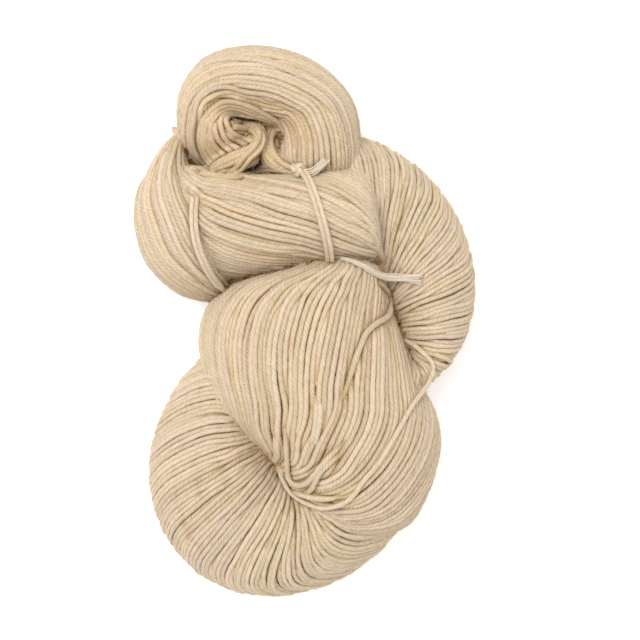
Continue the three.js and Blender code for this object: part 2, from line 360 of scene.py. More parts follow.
# %% [markdown]
# ## Laying the strands
#
# A real hank has hundreds of turns, and where a bundle narrows they can't all stay on the outside: some
# slip below their neighbours. The same happens here. Enough strands are started to cover the bundle at
# its widest, and each gets a rank. Where there is room for only a part of them, those of high rank dive,
# and the ones that stay on top share the room evenly. One mesh of the whole surface couldn't do that.
#
# `YARN` is more than `PITCH`, because wool squashes against its neighbours, and the strands of the two
# fans are drawn tighter, so they are `FINER`. `SPARE` strands are started for each one that just fits, and
# each has a point every `SAMPLE` millimetres. A strand that dives ends a `LAYER` lower, and a larger `DIVE`
# makes it gentler. It is left out where it is `DEEPEST` below the skin, or `HIDDEN` inside another bundle.
# A crease between bundles is bridged by the skin: down to `CREASE_FILLED` the strands are lifted right onto
# it, and below `CREASE_DEPTH` not at all.
#
# Slow random changes keep the strands from looking combed. `DRIFT` moves them together and apart, counted
# in strands, and the wanders move each one a little in millimetres. A reach says how slow a change is: over
# how many strands, and over how many points along a strand.

# %% Spacing, ranks and drift
YARN = 2.55
PITCH = 2.15
FINER = {"lower_fan": 0.86, "right_fan": 0.84, "root": 0.8}
SPARE = 1.45
LAYER = 0.62 * YARN
SAMPLE = 1.5
DIVE = 0.06
DRIFT = 1.2
DRIFT_REACH = (8, 30 / SAMPLE)
ASIDE_WANDER = 0.2
ASIDE_REACH = (0.3, 9)
HEIGHT_WANDER = 0.18
HEIGHT_REACH = (0.3, 12)
STRAND_WANDER = 0.1
ON_SKIN = 1.2
DEEPEST = 10.0
HIDDEN = 3.2
CREASE_FILLED = 3.5
CREASE_DEPTH = 9.0

rng = np.random.default_rng(11)


def unit(vectors):
    """Vectors at length one."""
    return vectors / np.maximum(np.linalg.norm(vectors, axis=-1, keepdims=True), 1e-9)


def fill_creases(points, out):
    """Lifts strands onto the skin where it bridges a crease, and turns their outward side to it."""
    places = points.reshape(-1, 3).copy()
    facing = out.reshape(-1, 3).copy()
    for i, point in enumerate(points.reshape(-1, 3)):
        place, normal, _, distance = skin.find_nearest(Vector(point))
        if (place - Vector(point)).dot(normal) > 0 and distance < CREASE_DEPTH:
            share = min(1.0, (CREASE_DEPTH - distance) / (CREASE_DEPTH - CREASE_FILLED))
            places[i] += share * (np.array(place) - point)
            facing[i] += share * min(1.0, distance) * np.array(normal)
    return places.reshape(points.shape), unit(facing).reshape(points.shape)


def spacing(points):
    """Distance between the neighbouring strands of a ring of strands, measured square to them."""
    along = unit(np.gradient(points, axis=1))
    step = (np.roll(points, -1, axis=0) - np.roll(points, 1, axis=0)) / 2
    step = step - (step * along).sum(-1, keepdims=True) * along
    return np.linalg.norm(step, axis=-1)


def outwards(bundle, start, share):
    """Directions away from a bundle's surface."""
    small = 0.01
    round_it = bundle_surface(bundle, start + small, share) - bundle_surface(bundle, start - small, share)
    along = bundle_surface(bundle, start, share + small) - bundle_surface(bundle, start, share - small)
    out = unit(np.cross(along, round_it))
    middle = between(BUNDLES[bundle][1], share)[..., :3]
    return out * np.sign(((bundle_surface(bundle, start, share) - middle) * out).sum())


# %% Slow noise and ranks
def slow(values, reach):
    """A grid of values, blurred over reach rows and reach columns. Its rows join up as a ring."""
    rows = np.fft.fftfreq(values.shape[0])[:, None] * reach[0]
    columns = np.fft.rfftfreq(values.shape[1])[None, :] * reach[1]
    blur = np.exp(-2 * np.pi**2 * (rows**2 + columns**2))
    return np.fft.irfft2(np.fft.rfft2(values) * blur, values.shape)


def smooth_noise(shape, reach):
    """Random values of spread one that change slowly over reach rows and reach columns."""
    noise = slow(rng.standard_normal(shape), reach)
    return noise / noise.std()


def rank(count):
    """A rank from 0 to 1 for each strand, spread so that neighbours differ most."""
    ranks = np.zeros(count)
    for i in range(count):
        share, left = 0.5, i
        while left:
            ranks[i] += share * (left % 2)
            share, left = share / 2, left // 2
    return ranks


# %% Room for the strands
def strand_starts(bundle):
    """Where round a bundle strands start, so that there are enough of them where it is widest."""
    fine = np.linspace(0, 2 * math.pi, 240, endpoint=False)
    share = np.linspace(0.02, 0.98, 60)
    points = bundle_surface(bundle, fine[:, None], share[None, :])
    shows = depth_below(skin, points.reshape(-1, 3)).reshape(points.shape[:-1]) < ON_SKIN
    needed = np.where(shows, spacing(points), 0).max(axis=1) * SPARE / (PITCH * FINER.get(bundle, 1))
    needed = np.maximum.reduce([np.roll(needed, k) for k in (-2, -1, 0, 1, 2)])
    total = np.concatenate([[0], np.cumsum(needed)])
    count = max(3, int(round(total[-1])))
    edges = np.append(fine, 2 * math.pi)
    return np.interp((np.arange(count) + 0.5) * total[-1] / count, total, edges)


def start_of(starts, index):
    """Where round a bundle a strand of any index starts, also between two strands and past the last one."""
    count = len(starts)
    rounds = np.floor(index / count)
    ring = np.append(starts, starts[0] + 2 * math.pi)
    return np.interp(index - rounds * count, np.arange(count + 1), ring) + 2 * math.pi * rounds


def share_room(room, ranks):
    """How far each strand is on top, from 0 to 1, and how many places aside it moves to share the room."""
    on_top = np.clip((room - ranks) / DIVE + 0.5, 0, 1)
    on_top = slow(on_top, (0, 3 / SAMPLE))
    around = np.maximum(slow(on_top, (5, 0)), 0.05)
    aside = np.cumsum(on_top - around, axis=0)
    aside -= aside.mean(axis=0)
    return on_top, (aside + (around - on_top) / 2) / around


print("yarn", YARN, "mm thick, laid", PITCH, "mm apart")

# %% [markdown]
# ## Strands that lie over the others
#
# The ties, the loose strand and the strands round the hollow of the bun cross over the bundles. They are
# laid first, and press the strands below them in. Round the hollow the turns curl in a hook, a short rope
# crosses under it and a flat tail of strands runs to the knot. Each of these is a ribbon: so many strands,
# spread between a few guides. A few single strands stray over the middle and curl in loops at the pinch.
# The ribbons and strays are drawn as they look from above, on the picture's plane, and then dropped onto
# the skin along the line of sight. With heights of their own, each height would have to be guessed.
#
# A ribbon lies its lift above the skin. Some dive in the last part of their length, and a stray is level in
# the middle and dives at both ends, as if it came out from between other strands.

# %% Guides of the ribbons, and single strands
RIBBONS = {
    "hook": (9, [
        [(-38.5, 61.5), (-42, 68), (-42.8, 76), (-40, 83.5), (-33.5, 88.3), (-25, 87.5), (-17, 84.5),
         (-10.5, 80.5), (-7.5, 75)],
        [(-32.5, 66.5), (-37, 71.5), (-38.5, 77.5), (-36.2, 82.5), (-31, 85.8), (-24, 84.8), (-17, 82.6),
         (-11.5, 79.5), (-9, 75.5)],
        [(-19.5, 72.5), (-25, 74.2), (-29.8, 77.2), (-31.3, 80.4), (-29.3, 82.6), (-23.5, 82), (-17, 80.6),
         (-12, 78.5), (-10, 75.5)],
    ]),
    "tail": (6, [
        [(-9.3, 77.2), (-12.5, 75.5), (-13.2, 71.5), (-11.3, 67), (-8, 63.5), (-4, 61.5)],
        [(-12, 76.5), (-15, 73.5), (-15.5, 69), (-13.5, 64.8), (-9.5, 61.8), (-3.5, 60.3)],
        [(-15, 76.3), (-17, 72), (-17.6, 66.5), (-15.5, 62), (-10, 60), (-3, 58.8)],
    ]),
    "slit": (1, 2 * [[(-30, 79), (-25, 79.5), (-20, 79.2), (-15, 79.5), (-11.5, 79)]]),
    "rope": (4, [
        [(-36, 63.3), (-32, 65.8), (-27, 68.3), (-22.5, 70.3), (-20.2, 73), (-21.5, 75.6), (-25, 77),
         (-28.5, 77.6)],
        [(-38, 60.8), (-33.5, 62.8), (-28, 65.6), (-22.5, 68.2), (-18.6, 72), (-18.6, 76), (-22.5, 78.3),
         (-28.5, 79)],
        [(-37, 58.6), (-32, 60), (-26.5, 62.8), (-21.5, 66), (-16.8, 70.5), (-15.8, 76), (-19.5, 79.6),
         (-28, 80.6)],
    ]),
    "rope_twist": (2, [
        [(-31, 59.3), (-28, 62.5), (-25.5, 66.5), (-21.5, 69.8), (-18.5, 74.5), (-19.5, 78.4)],
        [(-27, 59), (-23.5, 62), (-20.8, 65.3), (-17.8, 68.5), (-16.4, 71.5), (-16, 74)],
    ]),
    "low": (3, [
        [(-41, 60), (-36, 58.6), (-30, 58.4), (-24, 60.2), (-18.5, 62.3), (-13, 62.6), (-7, 60.8)],
        [(-43, 59), (-37, 57.4), (-30, 56.8), (-24, 58), (-18, 59.8), (-12, 60.3), (-5, 58.8)],
    ]),
}
STRAYS = [
    [(27, 18), (33, 12), (34, 6), (33, 2), (28, -1), (24, -5), (22, -10), (20, -15), (16, -28), (12, -36)],
    [(-8.4, -34), (-7.8, -45), (-7.3, -56), (-7, -61), (-5.6, -64.6), (-2.4, -65.6), (1, -64.4),
     (4, -60.8), (8.5, -55.5), (14, -49.5), (18.5, -43.5)],
    [(15.5, -51.5), (10.5, -56), (6.2, -60.2), (4, -64), (2.6, -67), (0, -69.4)],
    [(-9.8, -58), (-8.8, -62.5), (-7, -66), (-3.5, -68.6), (1, -70.2), (6, -70.9), (11, -70.8), (17, -69)],
]


# %% Dropping strands onto the skin
LIFTS = {"hook": 0.3, "tail": 0.4, "slit": 0.0, "rope": 0.9, "rope_twist": 1.8, "low": 0.4}
END_DIVES = {"hook": 5.0, "low": 3.5}
END_PART = 0.15
RIBBON_PITCH = 1.9
RIBBON_WANDER = 0.2
RIBBON_REACH = (0.3, 2)
STRAY_LIFT = 0.8
STRAY_DIVE = 3.4
STRAY_LEVEL_PART = 0.4


def keep_off_table(points):
    """Lifts the middle lines of strands so far that the strands don't go below the table."""
    points[..., 2] = np.maximum(points[..., 2], YARN / 2)


def every_line(groups):
    """All the lines of a dictionary of groups, as one list."""
    return [line for lines in groups.values() for line in lines]


def dropped(plan, lift):
    """Middle line of a strand that lies on the skin, from its route seen from above."""
    line = seen_on_skin(plan)
    line[:, 2] += lift - YARN / 2
    for _ in range(2):
        line[1:-1] = (line[:-2] + 2 * line[1:-1] + line[2:]) / 4
    keep_off_table(line)
    return line


def ribbon_lines(name):
    """The strands of a ribbon between its guides: where it narrows, some of them dive below the others."""
    count, guides = RIBBONS[name]
    samples = int(line_length(np.array(guides[0])) / SAMPLE) + 2
    share = np.linspace(0, 1, samples)
    guides = np.stack([between(guide, share) for guide in guides])
    width = np.linalg.norm(guides[-1] - guides[0], axis=-1)
    on_top = np.clip((width / count / RIBBON_PITCH - rank(count)[:, None]) / (2 * DIVE) + 0.5, 0.02, 1)
    for _ in range(3):
        on_top[:, 1:-1] = (on_top[:, :-2] + on_top[:, 1:-1] + on_top[:, 2:]) / 3
    places = (np.cumsum(on_top, axis=0) - on_top / 2) / on_top.sum(axis=0)
    plans = np.stack([between(guides[:, j], places[:, j]) for j in range(samples)], axis=1)
    wander_x = smooth_noise((count, samples), RIBBON_REACH)
    wander_y = smooth_noise((count, samples), RIBBON_REACH)
    wander_z = smooth_noise((count, samples), RIBBON_REACH)
    plans = plans + RIBBON_WANDER * np.stack([wander_x, wander_y], axis=-1)
    lifts = LIFTS[name] - YARN * (1 - on_top) + RIBBON_WANDER * wander_z
    lifts -= END_DIVES.get(name, 0) * np.clip((share - 1 + END_PART) / END_PART, 0, 1)**2
    return [dropped(plan, lift) for plan, lift in zip(plans, lifts)]


ribbon_strands = {name: ribbon_lines(name) for name in RIBBONS}
stray_share = np.linspace(0, 1, 50)
from_middle = np.abs(2 * stray_share - 1)
stray_dive = np.clip((from_middle - STRAY_LEVEL_PART) / (1 - STRAY_LEVEL_PART), 0, 1)**2
stray_lift = STRAY_LIFT - STRAY_DIVE * stray_dive
strays = [dropped(between(route, stray_share), stray_lift) for route in STRAYS]
print("over the others", len(every_line(ribbon_strands)), "strands of ribbons and", len(strays), "strays")

# %% [markdown]
# ## Pressing and crossing
#
# Where a strand lies over others it presses them in, and that is what makes a tie look tight. Every strand
# of a bundle is pushed inwards just as far as it takes to lie under the lines that cross it, and the push
# is eased out along the strand. In a real hank some strands also slip over their neighbours, so each
# bundle gets a few that rise, slant across a few others and dive again.
#
# A crossing's length and rise are in millimetres along the strand. Its slant and pitch are counted in
# strands. Its height above its place, and its depth below that at both ends, are in thicknesses of yarn.

# %% What presses on the bundles
PRESSED_DEEPEST = 2 * YARN

pressing = band_tie_lines + side_tie_lines + [band_tie_tail_line, tie_end_line, loose_strand_line]
pressing += strays + every_line(ribbon_strands)


def press_down(points, out, lines, reach_below):
    """How far each point of a grid of strands is pushed in by lines of yarn that cross over it.

    A line that lies deeper than the strand only pushes it as far as reach_below says, from 0 to 1.
    """
    reach = (TIE_THICKNESS + YARN) / 2
    push = np.zeros(points.shape[:-1])
    for line in lines:
        near = (
            (points > line.min(axis=0) - 2 * reach) & (points < line.max(axis=0) + 2 * reach)
        ).all(axis=-1)
        if near.any():
            to_line = line[None] - points[near][:, None]
            height = (to_line * out[near][:, None]).sum(axis=-1)
            aside = np.sqrt(np.maximum((to_line**2).sum(axis=-1) - height**2, 0))
            under = np.sqrt(np.maximum(reach**2 - aside**2, 0)) - height
            over = np.clip(reach_below + 2 * height / reach, 0, 1)
            push[near] = np.maximum(push[near], np.where(aside < reach, over * under, 0).max(axis=1))
    push = np.minimum(push, PRESSED_DEEPEST)
    for _ in range(3):
        eased = (np.roll(push, 1, axis=1) + push + np.roll(push, -1, axis=1)) / 3
        push = np.maximum(push, eased)
    return push


# %% Strands of a bundle that cross over their neighbours
CROSSINGS = {"bun": 5, "band": 6, "band_end": 2, "middle": 5, "right_fan": 5, "lower_fan": 5}
CROSSING_LENGTH = (45, 90)
CROSSING_PART = 0.7
CROSSING_MARGIN = 0.12
CROSSING_SLANT = (2.5, 5)
CROSSING_PITCH = 1.1
CROSSING_RISE = 20
CROSSING_HEIGHT = 0.25
CROSSING_DEPTH = 1.6


def crossing_lines(bundle, starts, length):
    """Small groups of strands that slant over the ones beside them and dive again."""
    lines = []
    for _ in range(CROSSINGS.get(bundle, 0)):
        reach = min(rng.uniform(*CROSSING_LENGTH) / length, CROSSING_PART)
        first_share = rng.uniform(CROSSING_MARGIN, 1 - CROSSING_MARGIN - reach)
        share = first_share + np.linspace(0, reach, int(reach * length / SAMPLE))
        travel = np.linspace(0, 1, len(share))
        slant = rng.choice([-1, 1]) * rng.uniform(*CROSSING_SLANT) * travel
        first = rng.uniform(0, len(starts))
        risen = np.clip(np.minimum(travel, 1 - travel) * reach * length / CROSSING_RISE, 0, 1)
        lift = YARN * (CROSSING_HEIGHT - CROSSING_DEPTH * (1 + np.cos(math.pi * risen)) / 2)
        for beside in range(rng.integers(1, 3)):
            start = start_of(starts, first + slant + CROSSING_PITCH * beside)
            out = outwards(bundle, start, share)
            lines.append(bundle_surface(bundle, start, share) + out * (lift - YARN / 2)[:, None])
    return lines


# %% Lines of the strands
def cut_to(lines, seen):
    """The runs of a grid of strands that are seen."""
    runs = []
    for line, shows in zip(lines, seen):
        edges = np.flatnonzero(np.diff(np.concatenate([[0], shows.astype(int), [0]])))
        runs += [line[first:last] for first, last in zip(edges[::2], edges[1::2]) if last - first > 4]
    return runs


def where_seen(bundle, points, on_top):
    """Which points of a bundle's strands can be seen."""
    seen = slow(on_top, (0, 1.5)) > 0.05
    places = points.reshape(*seen.shape, 3)[seen]
    shows = (depth_below(skin, places) < DEEPEST) & (depth_in_others(bundle, places) < HIDDEN)
    seen[seen] = shows
    return seen


def spread_strands(bundle, starts):
    """A bundle's strands over its surface: their points, the way out, and how far each is on top."""
    coarse = bundle_surface(bundle, starts[:, None], np.linspace(0, 1, 60)[None, :])
    samples = int(max(line_length(line) for line in coarse) / SAMPLE)
    shape = (len(starts), samples)
    share = np.broadcast_to(np.linspace(0, 1, samples), shape)
    index = np.arange(len(starts))[:, None] + DRIFT * smooth_noise(shape, DRIFT_REACH)
    finer = FINER.get(bundle, 1)
    room = spacing(bundle_surface(bundle, start_of(starts, index), share)) / (PITCH * finer)
    on_top, aside = share_room(room, rank(len(starts))[:, None])
    start = start_of(starts, index + aside)
    points, out = fill_creases(bundle_surface(bundle, start, share), outwards(bundle, start, share))
    across = unit(np.cross(out, np.gradient(points, axis=1)))
    points = points + across * (ASIDE_WANDER * smooth_noise(shape, ASIDE_REACH))[..., None]
    uneven = HEIGHT_WANDER * smooth_noise(shape, HEIGHT_REACH)
    uneven = uneven + STRAND_WANDER * rng.standard_normal((shape[0], 1))
    depth = finer * YARN / 2 + LAYER * (1 - on_top) + uneven
    return points - out * depth[..., None], out, on_top


def lay_strands(bundle):
    """Middle lines of a bundle's strands in millimetres, only where they can be seen."""
    starts = strand_starts(bundle)
    points, out, on_top = spread_strands(bundle, starts)
    over = crossing_lines(bundle, starts, points.shape[1] * SAMPLE)
    push = np.maximum(press_down(points, out, pressing, 1), press_down(points, out, over, 0))
    points = points - out * push[..., None]
    keep_off_table(points)
    lines = cut_to(points, where_seen(bundle, points, on_top))
    for line in over:
        keep_off_table(line)
        lines += cut_to([line], where_seen(bundle, line, np.ones((1, len(line)))))
    return lines


strand_lines = {bundle: lay_strands(bundle) for bundle in BUNDLES}
for bundle, lines in strand_lines.items():
    print(bundle, len(lines), "strands,", round(sum(map(line_length, lines)) / 1000, 2), "m of yarn")
print("in all", round(sum(map(line_length, every_line(strand_lines))) / 1000, 1), "m")

# %% [markdown]
# ## Wool as a material
#
# Merino is matt and soft: its fibres scatter light, and a faint warm sheen shows at grazing angles. A
# pattern in Object coordinates would cut straight through the strands, so the yarn carries coordinates of
# its own as attributes: `section` is the place in the yarn's cross-section, `along` the metres along it,
# `groove` is one between two plies, and `tint` differs from strand to strand. Noise that is stretched along
# the strand in those coordinates gives fibres that follow the twist. The grooves get a painted shade.
# `depth` is how far a point lies below the skin, and deeper wool is painted darker and warmer: painted
# shade for a crease, where the light has gone from strand to strand. One node group does all this, so that
# the wools share it with values of their own.


# %% Helpers that add nodes
def add_node(tree, kind, inputs=None, **settings):
    """A new node with its settings, whose inputs take values or come from other nodes' outputs."""
    made = tree.nodes.new(kind)
    for name, value in settings.items():
        setattr(made, name, value)
    for key, value in (inputs or {}).items():
        if isinstance(value, bpy.types.NodeSocket):
            tree.links.new(value, made.inputs[key])
        else:
            made.inputs[key].default_value = value
    return made


def result_of(tree, kind, inputs=None, **settings):
    """The first output of a new node."""
    return add_node(tree, kind, inputs, **settings).outputs[0]


def calculate(tree, operation, a, b=0.0):
    """The result of a sum on numbers."""
    return result_of(tree, "ShaderNodeMath", {0: a, 1: b}, operation=operation)


def calculate_vector(tree, operation, a, b):
    """The result of a sum on vectors. The second one is a number when it scales the first."""
    second = "Scale" if operation == "SCALE" else 1
    made = add_node(tree, "ShaderNodeVectorMath", {0: a, second: b}, operation=operation)
    return made.outputs["Value" if operation == "DOT_PRODUCT" else "Vector"]


def store(tree, geometry, name, value, kind="FLOAT"):
    """Geometry that carries a value on its points under a name."""
    made = add_node(tree, "GeometryNodeStoreNamedAttribute", {
        "Geometry": geometry, "Name": name,
    }, data_type=kind, domain="POINT")
    tree.links.new(value, made.inputs["Value"])
    return made.outputs[0]


def new_tree(name, kind, inputs, outputs):
    """An empty node tree with its sockets, and what its inputs give."""
    tree = bpy.data.node_groups.new(name, kind)
    for way, sockets in (("INPUT", inputs), ("OUTPUT", outputs)):
        for socket, socket_kind in sockets.items():
            tree.interface.new_socket(socket, in_out=way, socket_type="NodeSocket" + socket_kind)
    return tree, add_node(tree, "NodeGroupInput").outputs


# %% Painted shade: how wool darkens with depth
DEPTH_REACH = 10 * MM
# Painted shade: wool is darkened and warmed with its depth below the skin, as light is in a crease.
PAINTED_DEPTH_SHADES = [
    (0.0, (1.0, 1.0, 1.0)), (0.025, (0.98, 0.96, 0.93)), (0.055, (0.9, 0.83, 0.73)),
    (0.1, (0.87, 0.78, 0.64)), (0.2, (0.83, 0.7, 0.52)), (0.27, (0.6, 0.45, 0.26)),
    (0.4, (0.32, 0.21, 0.1)), (0.6, (0.15, 0.1, 0.04)),
]


def painted_depth_shade(group, depth):
    """Painted shade: the colour by which wool is darkened at a depth below the skin."""
    share = calculate(group, "DIVIDE", depth, DEPTH_REACH)
    ramp = add_node(group, "ShaderNodeValToRGB", {"Fac": share})
    stops = ramp.color_ramp.elements
    while len(stops) < len(PAINTED_DEPTH_SHADES):
        stops.new(0.5)
    for stop, (at, shade) in zip(stops, PAINTED_DEPTH_SHADES):
        stop.position = at
        stop.color = (*shade, 1)
    return ramp.outputs[0]


# %% Noise that follows the yarn
FIBRES_ACROSS = 1900
FIBRES_ALONG = 450
CLOUDS_ALONG = 45
TINT_SPREAD = 97.0


def fibre_noise(group, section, along, shift):
    """Fine noise, drawn out along the strand."""
    place = add_node(group, "ShaderNodeSeparateXYZ", {"Vector": section}).outputs
    drawn_out = result_of(group, "ShaderNodeCombineXYZ", {
        "X": calculate(group, "MULTIPLY", place["X"], FIBRES_ACROSS),
        "Y": calculate(group, "MULTIPLY", place["Y"], FIBRES_ACROSS),
        "Z": calculate(group, "ADD", calculate(group, "MULTIPLY", along, FIBRES_ALONG), shift),
    })
    return result_of(group, "ShaderNodeTexNoise", {
        "Vector": drawn_out, "Scale": 1.0, "Detail": 3.0, "Roughness": 0.65,
    })


def cloud_noise(group, along, shift):
    """Slow noise along the strand only."""
    place = calculate(group, "ADD", calculate(group, "MULTIPLY", along, CLOUDS_ALONG), shift)
    return result_of(group, "ShaderNodeTexNoise", {
        "W": place, "Scale": 1.0, "Detail": 1.0,
    }, noise_dimensions="1D")


# %% The node group for wool fibres
TINT_SHARE = 0.7
CLOUD_SHARE = 0.5
STRAND_CONTRAST = 0.16
STRAND_SHUFFLE = 13.7


def wool_fibre_group():
    """Colour and height of plied wool, from the yarn's own coordinates, with painted shade in the grooves
    and with depth.
    """
    group, given = new_tree("wool fibres", "ShaderNodeTree", {
        "Colour": "Color", "Other Colour": "Color", "Groove Shade": "Float", "Fibre Contrast": "Float",
    }, {"Colour": "Color", "Height": "Float"})
    section = add_node(group, "ShaderNodeAttribute", attribute_name="section").outputs["Vector"]
    along, groove, tint, depth = [
        add_node(group, "ShaderNodeAttribute", attribute_name=name).outputs["Fac"]
        for name in ("along", "groove", "tint", "depth")
    ]
    shift = calculate(group, "MULTIPLY", tint, TINT_SPREAD)
    fibre = fibre_noise(group, section, along, shift)
    cloud = calculate(group, "MULTIPLY", cloud_noise(group, along, shift), CLOUD_SHARE)
    other = calculate(group, "ADD", calculate(group, "MULTIPLY", tint, TINT_SHARE), cloud)
    cream = add_node(group, "ShaderNodeMix", {
        0: other, 6: given["Colour"], 7: given["Other Colour"],
    }, data_type="RGBA").outputs[2]
    # Painted shade with depth below the skin.
    deep = calculate_vector(group, "MULTIPLY", cream, painted_depth_shade(group, depth))

    per_strand = calculate(group, "FRACT", calculate(group, "MULTIPLY", tint, STRAND_SHUFFLE))
    strand_shade = result_of(group, "ShaderNodeMath", {
        0: per_strand, 1: STRAND_CONTRAST, 2: 1 - STRAND_CONTRAST / 2,
    }, operation="MULTIPLY_ADD")
    unevenness = calculate(group, "SUBTRACT", fibre, 0.5)
    contrast = calculate(group, "MULTIPLY", unevenness, given["Fibre Contrast"])
    # Painted shade in the grooves between plies.
    painted_groove_darkening = calculate(group, "MULTIPLY", groove, given["Groove Shade"])
    shade = calculate(group, "SUBTRACT", calculate(group, "ADD", contrast, strand_shade), painted_groove_darkening)
    shaded = calculate_vector(group, "SCALE", deep, shade)
    add_node(group, "NodeGroupOutput", {"Colour": shaded, "Height": fibre})
    return group


wool_fibres = wool_fibre_group()
print("wool fibres", len(wool_fibres.nodes), "nodes")

# %% [markdown]
# ## Five wools
#
# All are the same undyed merino, so they share one finish: rough, hardly shiny, a little light inside, and
# a warm sheen. Only their creams differ. The strands in the hollow of the bun are painted warmer, as
# painted bounce light, because the light there comes from other strands. The yarn deep in the hank is
# painted darker, as painted shade, and the ties are a little paler. The opened ends and loose fibres are
# palest, with no clear plies.

# %% Wool materials
FIBRE_RELIEF = 0.15 * MM
WOOL_FINISH = {
    "Roughness": 0.9,
    "Specular IOR Level": 0.1,
    "Subsurface Weight": 0.2,
    "Subsurface Radius": (1.0, 0.6, 0.35),
    "Subsurface Scale": 1.0 * MM,
    "Sheen Weight": 0.2,
    "Sheen Roughness": 0.5,
    "Sheen Tint": (1.0, 0.82, 0.6, 1),
}


def set_values(node, values):
    """Sets inputs of a node by their names."""
    for name, value in values.items():
        node.inputs[name].default_value = value


def wool_material(name, colour, other_colour, painted_groove_shade=0.13, fibre_contrast=0.9, bump=0.9):
    """A matt wool with soft sheen, over the shared group of fibres."""
    material = bpy.data.materials.new(name)
    material.use_nodes = True
    tree = material.node_tree
    shader = tree.nodes["Principled BSDF"]
    fibres = add_node(tree, "ShaderNodeGroup", node_tree=wool_fibres)
    set_values(fibres, {
        "Colour": (*colour, 1), "Other Colour": (*other_colour, 1),
        "Groove Shade": painted_groove_shade, "Fibre Contrast": fibre_contrast,
    })
    relief = add_node(tree, "ShaderNodeBump", {
        "Height": fibres.outputs["Height"], "Strength": bump, "Distance": FIBRE_RELIEF,
    })
    tree.links.new(fibres.outputs["Colour"], shader.inputs["Base Color"])
    tree.links.new(relief.outputs["Normal"], shader.inputs["Normal"])
    set_values(shader, WOOL_FINISH)
    return material


cream_wool = wool_material("cream wool", (0.545, 0.453, 0.293), (0.59, 0.468, 0.356))
# Painted bounce light: the wool in the hollow of the bun gets a warmer cream.
hollow_painted_bounce_wool = wool_material("hollow wool", (0.57, 0.45, 0.255), (0.615, 0.465, 0.315), painted_groove_shade=0.16)
# Painted shade: the yarn deep in the hank gets a darker cream.
deep_painted_shade_wool = wool_material("deep wool", (0.45, 0.35, 0.2), (0.48, 0.36, 0.235))
tie_wool = wool_material("tie wool", (0.58, 0.48, 0.315), (0.625, 0.494, 0.37))
open_wool = wool_material("open wool", (0.62, 0.525, 0.41), (0.65, 0.55, 0.44), 0.1, 0.4, 0.6)
print("wools:", ", ".join(wool.name for wool in (cream_wool, hollow_painted_bounce_wool, deep_painted_shade_wool, tie_wool, open_wool)))

# %% [markdown]
# ## Yarn along a line
#
# The yarn has four plies, twisted together. Modelling each ply would take four times the faces. A geometry
# node tree does it in one: it turns bare edges into curves, sweeps a section with four rounded lobes along
# them, and tilts it more and more with the length, which is the twist. Eight points round and one ring each
# millimetre or so are few enough for metres of yarn.

# %% Depth below the skin, in nodes
def depth_under(tree, outside):
    """How far each point lies below the outside of an object's mesh."""
    mesh = add_node(tree, "GeometryNodeObjectInfo", {
        "Object": outside,
    }, transform_space="ORIGINAL").outputs["Geometry"]
    place = result_of(tree, "GeometryNodeInputPosition")
    nearest = result_of(tree, "GeometryNodeProximity", {0: mesh}, target_element="FACES")
    facing = result_of(tree, "GeometryNodeSampleNearestSurface", {
        "Mesh": mesh, "Value": result_of(tree, "GeometryNodeInputNormal"),
    }, data_type="FLOAT_VECTOR")
    outwards_to_it = calculate_vector(tree, "SUBTRACT", nearest, place)
    depth = calculate_vector(tree, "DOT_PRODUCT", outwards_to_it, facing)
    return calculate(tree, "MAXIMUM", depth, 0.0)


# %% The node tree for plied yarn
LUMP_SCALE = 380.0
TWIST_SHIFT = 7.0


def twisted_lines(tree, given):
    """The edges of a mesh as curves that tilt more and more along their length."""
    lines = result_of(tree, "GeometryNodeMeshToCurve", {"Mesh": given["Geometry"]})
    lines = result_of(tree, "GeometryNodeResampleCurve", {
        "Curve": lines, "Length": given["Ring Step"],
    }, mode="LENGTH")
    length = add_node(tree, "GeometryNodeSplineParameter").outputs["Length"]
    lines = store(tree, lines, "along", length)
    turns = calculate(tree, "DIVIDE", length, given["Twist Length"])
    tint = result_of(tree, "GeometryNodeInputNamedAttribute", {"Name": "tint"}, data_type="FLOAT")
    turns = calculate(tree, "ADD", turns, calculate(tree, "MULTIPLY", tint, TWIST_SHIFT))
    angle = calculate(tree, "MULTIPLY", turns, 2 * math.pi)
    return result_of(tree, "GeometryNodeSetCurveTilt", {"Curve": lines, "Tilt": angle})


def plied_section(tree, given):
    """The cross-section: a ring whose every second point is drawn in, as the groove between two plies."""
    ring = result_of(tree, "GeometryNodeCurvePrimitiveCircle", {
        "Resolution": calculate(tree, "MULTIPLY", given["Plies"], 2.0),
        "Radius": calculate(tree, "MULTIPLY", given["Thickness"], 0.5),
    })
    groove = calculate(tree, "MODULO", result_of(tree, "GeometryNodeInputIndex"), 2.0)
    ring = store(tree, ring, "groove", groove)
    keep = calculate(tree, "SUBTRACT", 1.0, calculate(tree, "MULTIPLY", groove, given["Ply Depth"]))
    place = result_of(tree, "GeometryNodeInputPosition")
    drawn_in = calculate_vector(tree, "SCALE", place, keep)
    ring = result_of(tree, "GeometryNodeSetPosition", {"Geometry": ring, "Position": drawn_in})
    return store(tree, ring, "section", place, "FLOAT_VECTOR")


def finish_tree(tree, given, geometry):
    """Smooth shading, real geometry and the wool, at the end of a tree."""
    geometry = result_of(tree, "GeometryNodeSetShadeSmooth", {"Geometry": geometry})
    geometry = result_of(tree, "GeometryNodeRealizeInstances", {"Geometry": geometry})
    geometry = result_of(tree, "GeometryNodeSetMaterial", {
        "Geometry": geometry, "Material": given["Wool"],
    })
    add_node(tree, "NodeGroupOutput", {"Geometry": geometry})
    return tree


